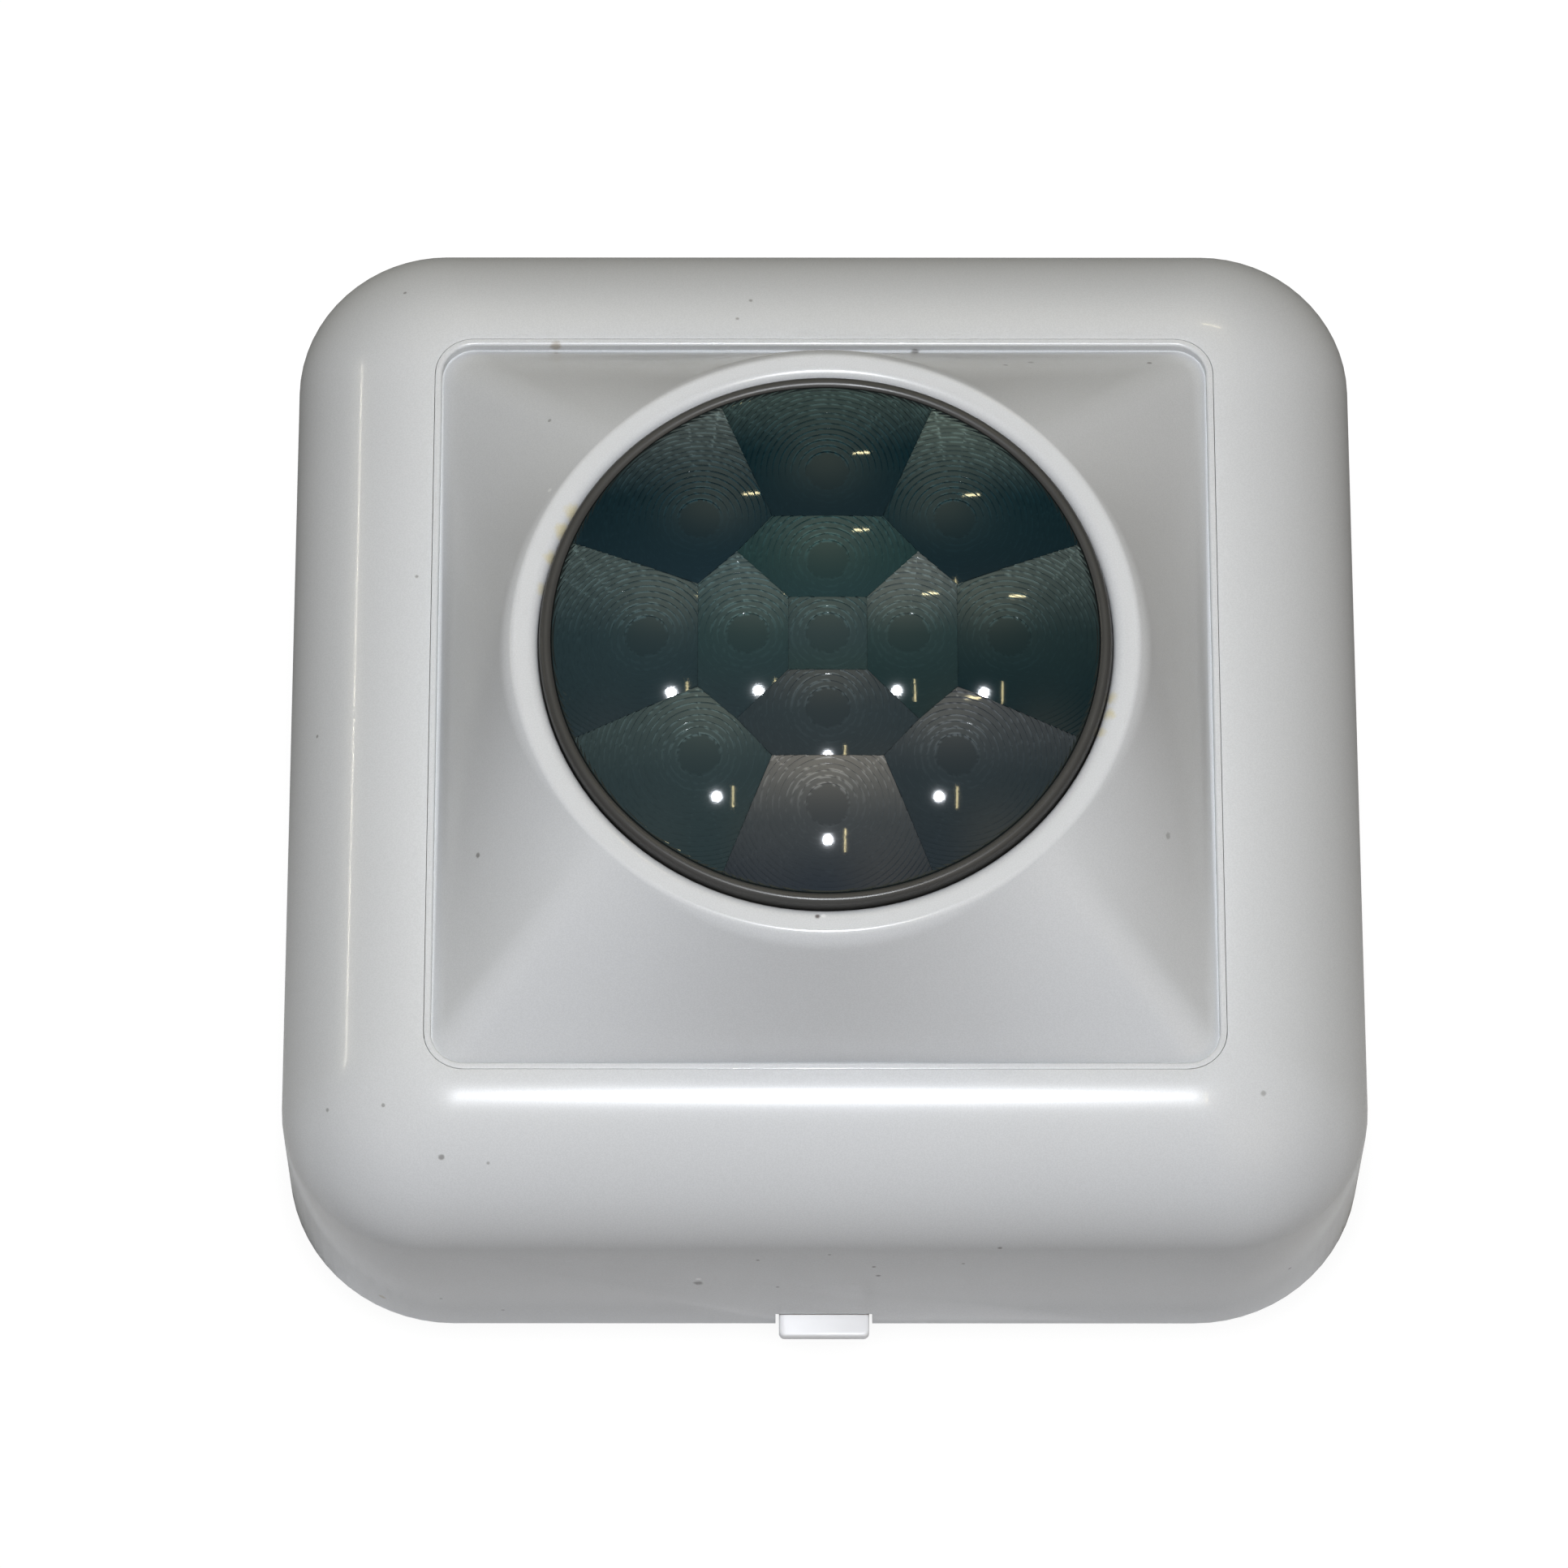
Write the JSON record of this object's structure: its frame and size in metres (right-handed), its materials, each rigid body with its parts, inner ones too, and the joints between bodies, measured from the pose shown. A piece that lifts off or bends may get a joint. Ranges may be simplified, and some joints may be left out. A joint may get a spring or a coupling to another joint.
{
  "type": "motion sensor",
  "caption": "Square ceiling motion sensor: pillow-edged white cover, square-to-round insert with a domed Fresnel lens, hinged on a base plate with its detector board.",
  "frame": {"origin": "centre of the base plate's mounting face", "axes": "+Z from the mounting surface towards the lens, -Y towards the release latch, +X to the right seen from the latch side"},
  "size_m": [0.11, 0.1122, 0.0527],
  "materials": {
    "housing": "semi-gloss moulded ABS, cool white, very fine grain",
    "insert": "semi-gloss moulded ABS, cool white",
    "latch": "satin white plastic",
    "lens": "dark green-black infrared-passing plastic with ring grooves",
    "lens_rim": "dark grey moulded plastic",
    "base": "white moulded plastic",
    "rubber": "black rubber",
    "board": "green solder mask over glass-fibre laminate",
    "black_plastic": "black moulded plastic",
    "blue_plastic": "blue moulded plastic",
    "red_plastic": "red moulded plastic",
    "white_plastic": "off-white moulded plastic",
    "green_plastic": "green moulded plastic",
    "steel": "zinc-plated steel",
    "can": "bright nickel-plated steel",
    "filter": "dark polished infrared filter",
    "sleeve": "dark blue shrink sleeve",
    "led": "clear red epoxy"
  },
  "bodies": {
    "base": {"base_plate": "base", "cable_grommet": "rubber", "pcb": "board", "pcb_screw_1": "steel", "pcb_screw_2": "steel", "pcb_screw_3": "steel", "pcb_screw_4": "steel", "pyro_holder": "black_plastic", "pyro_can": "can", "pyro_window": "filter", "walk_test_led": "led", "relay": "white_plastic", "signal_ic": "black_plastic", "capacitor_1": "sleeve", "capacitor_2": "sleeve", "voltage_regulator": "black_plastic", "tamper_switch_body": "black_plastic", "tamper_spring": "steel", "sensitivity_trimmer_body": "blue_plastic", "timer_trimmer_body": "blue_plastic", "dip_switch_body": "red_plastic", "terminal_block": "green_plastic", "terminal_screw_1": "steel", "terminal_screw_2": "steel", "terminal_screw_3": "steel", "terminal_screw_4": "steel", "terminal_screw_5": "steel", "terminal_screw_6": "steel"},
    "cover": {"front_cover": "housing", "lens_bezel": "insert", "fresnel_lens": "lens", "lens_rim_ring": "lens_rim", "lens_retaining_ring": "black_plastic", "bezel_screw_1": "steel", "bezel_screw_2": "steel", "bezel_screw_3": "steel", "bezel_screw_4": "steel"},
    "latch": {"release_latch": "latch"},
    "plunger": {"tamper_plunger": "white_plastic"},
    "sensitivity_rotor": {"sensitivity_trimmer_rotor": "white_plastic"},
    "timer_rotor": {"timer_trimmer_rotor": "white_plastic"},
    "dip_way_1": {"dip_slider_1": "white_plastic"},
    "dip_way_2": {"dip_slider_2": "white_plastic"},
    "dip_way_3": {"dip_slider_3": "white_plastic"}
  },
  "joints": [
    {"name": "cover_hinge", "type": "hinge", "parent": "base", "child": "cover", "pos_m": [0, 0.055, 0], "axis": [-1, 0, 0], "range_deg": [0, 75]},
    {"name": "latch_slide", "type": "slide", "parent": "base", "child": "latch", "axis": [0, 1, 0], "range_m": [0, 0.0015]},
    {"name": "tamper_slide", "type": "slide", "parent": "base", "child": "plunger", "axis": [0, 0, 1], "range_m": [0, 0.0015], "deforming": ["tamper_spring"]},
    {"name": "sensitivity_turn", "type": "hinge", "parent": "base", "child": "sensitivity_rotor", "pos_m": [0.025, -0.006, 0.018], "axis": [0, 0, 1], "range_deg": [-135, 135]},
    {"name": "timer_turn", "type": "hinge", "parent": "base", "child": "timer_rotor", "pos_m": [0.025, 0.005, 0.018], "axis": [0, 0, 1], "range_deg": [-135, 135]},
    {"name": "dip_slide_1", "type": "slide", "parent": "base", "child": "dip_way_1", "axis": [0, 1, 0], "range_m": [0, 0.0018]},
    {"name": "dip_slide_2", "type": "slide", "parent": "base", "child": "dip_way_2", "axis": [0, 1, 0], "range_m": [0, 0.0018]},
    {"name": "dip_slide_3", "type": "slide", "parent": "base", "child": "dip_way_3", "axis": [0, 1, 0], "range_m": [0, 0.0018]}
  ],
  "couplings": [
    {"joint": "tamper_slide", "follows": "cover_hinge", "m_per_rad": 0.001145}
  ]
}
